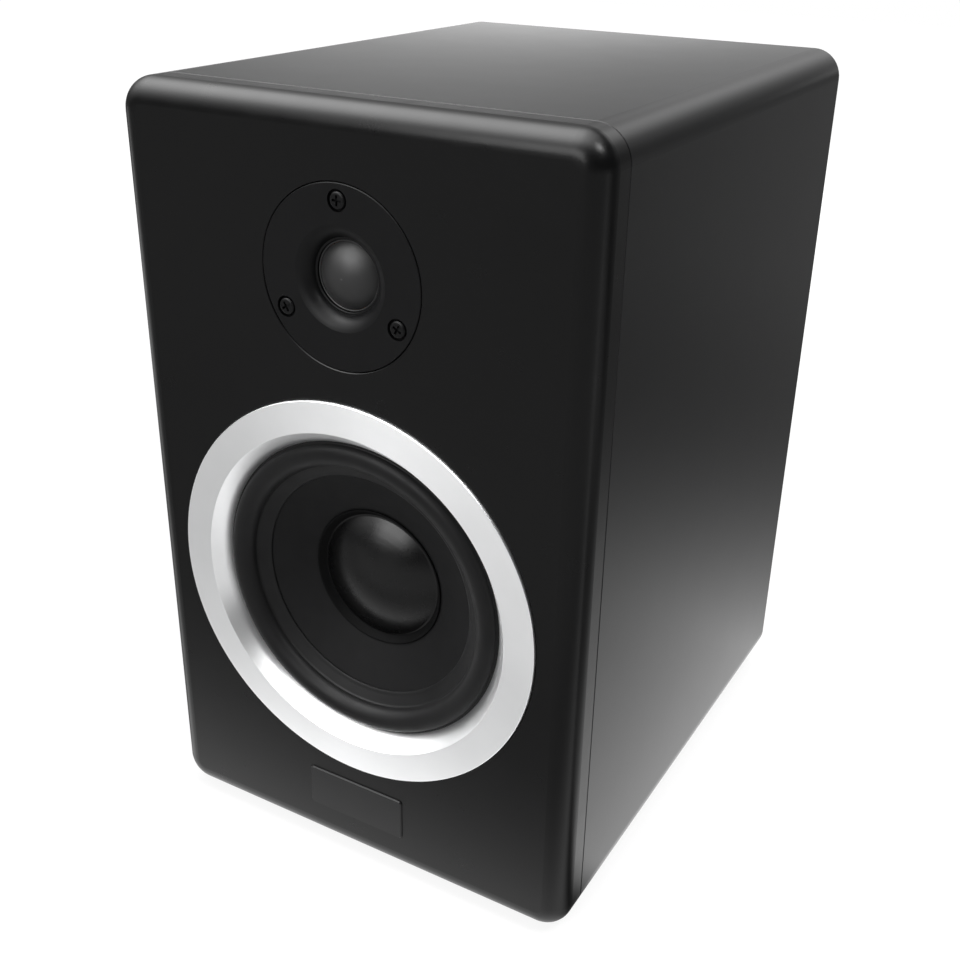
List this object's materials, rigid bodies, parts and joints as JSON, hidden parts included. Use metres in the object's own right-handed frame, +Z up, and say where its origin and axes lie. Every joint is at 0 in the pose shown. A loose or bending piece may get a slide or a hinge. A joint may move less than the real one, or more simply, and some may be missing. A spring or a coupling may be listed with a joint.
{
  "type": "bookshelf loudspeaker",
  "caption": "Two-way bookshelf loudspeaker: dark box cabinet with rounded front, dome tweeter, cone woofer in a satin metal ring, rear port and binding posts.",
  "frame": {"origin": "on the floor under the middle of the loudspeaker's bounding box", "axes": "+X to the right as seen from the front, the baffle faces -Y, +Z up"},
  "size_m": [0.212, 0.2652, 0.343],
  "materials": {
    "cabinet_vinyl": "fine-grained black vinyl wrap",
    "baffle_paint": "satin black textured lacquer",
    "rear_board": "black vinyl on fibreboard",
    "raw_board": "bare fibreboard",
    "foot_rubber": "matt rubber",
    "trim_aluminium": "fine satin, anodised",
    "basket_steel": "black powder coat",
    "seal_foam": "closed-cell foam",
    "black_screws": "black oxide",
    "surround_rubber": "butyl rubber",
    "cone_paper": "coated fibre cone",
    "cap_paper": "smooth coated cap",
    "former": "thin sheet",
    "coil_copper": "enamelled copper wire",
    "spider_cloth": "impregnated cloth",
    "motor_steel": "zinc-plated steel",
    "ferrite": "ground ferrite",
    "tag_board": "phenolic laminate",
    "tag_brass": "tinned brass",
    "face_plastic": "fine-textured plastic",
    "dome_silk": "coated silk",
    "port_plastic": "moulded plastic",
    "post_metal": "gold-flashed brass",
    "red_plastic": "clear-coated red",
    "black_plastic": "moulded black",
    "board_screw_steel": "zinc plated",
    "capacitor_film": "wrapped film",
    "resistor_ceramic": "cement block",
    "lead_sleeve": "soft insulation",
    "lining_foam": "open-cell foam"
  },
  "bodies": {
    "cabinet": {"cabinet_sleeve": "cabinet_vinyl", "front_baffle": "baffle_paint", "front_plate": "baffle_paint", "rear_panel": "rear_board", "window_brace": "raw_board", "rubber_feet": "foot_rubber", "trim_ring": "trim_aluminium", "woofer_basket": "basket_steel", "woofer_gasket": "seal_foam", "tweeter_gasket": "seal_foam", "terminal_gasket": "seal_foam", "woofer_screws": "black_screws", "tweeter_screws": "black_screws", "terminal_screws": "black_screws", "woofer_surround": "surround_rubber", "inductor_windings": "coil_copper", "woofer_spider": "spider_cloth", "woofer_top_plate": "motor_steel", "woofer_yoke": "motor_steel", "tweeter_top_plate": "motor_steel", "tweeter_yoke": "motor_steel", "woofer_magnet": "ferrite", "tweeter_magnet": "ferrite", "woofer_tag_board": "tag_board", "crossover_board": "tag_board", "woofer_tags": "tag_brass", "tweeter_tags": "tag_brass", "post_solder_tags": "tag_brass", "woofer_tinsel_leads": "tag_brass", "tweeter_faceplate": "face_plastic", "tweeter_dome_ring": "face_plastic", "tweeter_surround": "dome_silk", "port_tube": "port_plastic", "terminal_cup": "port_plastic", "post_stud_red": "post_metal", "post_stud_black": "post_metal", "post_lock_nuts": "post_metal", "post_collar_red": "red_plastic", "post_collar_black": "black_plastic", "crossover_standoffs": "black_plastic", "inductor_bobbins": "black_plastic", "crossover_screws": "board_screw_steel", "film_capacitors": "capacitor_film", "crossover_resistor": "resistor_ceramic", "input_leads": "lead_sleeve", "woofer_leads": "lead_sleeve", "tweeter_leads": "lead_sleeve", "foam_lining": "lining_foam"},
    "woofer_diaphragm": {"woofer_cone": "cone_paper", "woofer_dust_cap": "cap_paper", "woofer_coil_former": "former", "woofer_voice_coil": "coil_copper"},
    "tweeter_diaphragm": {"tweeter_dome": "dome_silk", "tweeter_coil_former": "former", "tweeter_voice_coil": "coil_copper"},
    "red_nut": {"post_insert_red": "post_metal"},
    "red_knob": {"post_cap_red": "red_plastic"},
    "black_nut": {"post_insert_black": "post_metal"},
    "black_knob": {"post_cap_black": "black_plastic"}
  },
  "joints": [
    {"name": "woofer_travel", "type": "slide", "parent": "cabinet", "child": "woofer_diaphragm", "axis": [0, -1, 0], "range_m": [-0.005, 0.005], "stiffness_N_per_m": 1000, "deforming": ["woofer_surround", "woofer_spider", "woofer_tinsel_leads"]},
    {"name": "tweeter_travel", "type": "slide", "parent": "cabinet", "child": "tweeter_diaphragm", "axis": [0, -1, 0], "range_m": [-0.0005, 0.0005], "stiffness_N_per_m": 200, "deforming": ["tweeter_surround"]},
    {"name": "red_post_screw", "type": "slide", "parent": "cabinet", "child": "red_nut", "axis": [0, 1, 0], "range_m": [0, 0.0049]},
    {"name": "red_post_turn", "type": "hinge", "parent": "red_nut", "child": "red_knob", "pos_m": [-0.00953, 0.12665, 0.108], "axis": [0, 1, 0], "range_deg": [0, 2520]},
    {"name": "black_post_screw", "type": "slide", "parent": "cabinet", "child": "black_nut", "axis": [0, 1, 0], "range_m": [0, 0.0049]},
    {"name": "black_post_turn", "type": "hinge", "parent": "black_nut", "child": "black_knob", "pos_m": [0.00953, 0.12665, 0.108], "axis": [0, 1, 0], "range_deg": [0, 2520]}
  ],
  "couplings": [
    {"joint": "red_post_turn", "follows": "red_post_screw", "rad_per_m": 8976},
    {"joint": "black_post_turn", "follows": "black_post_screw", "rad_per_m": 8976}
  ]
}
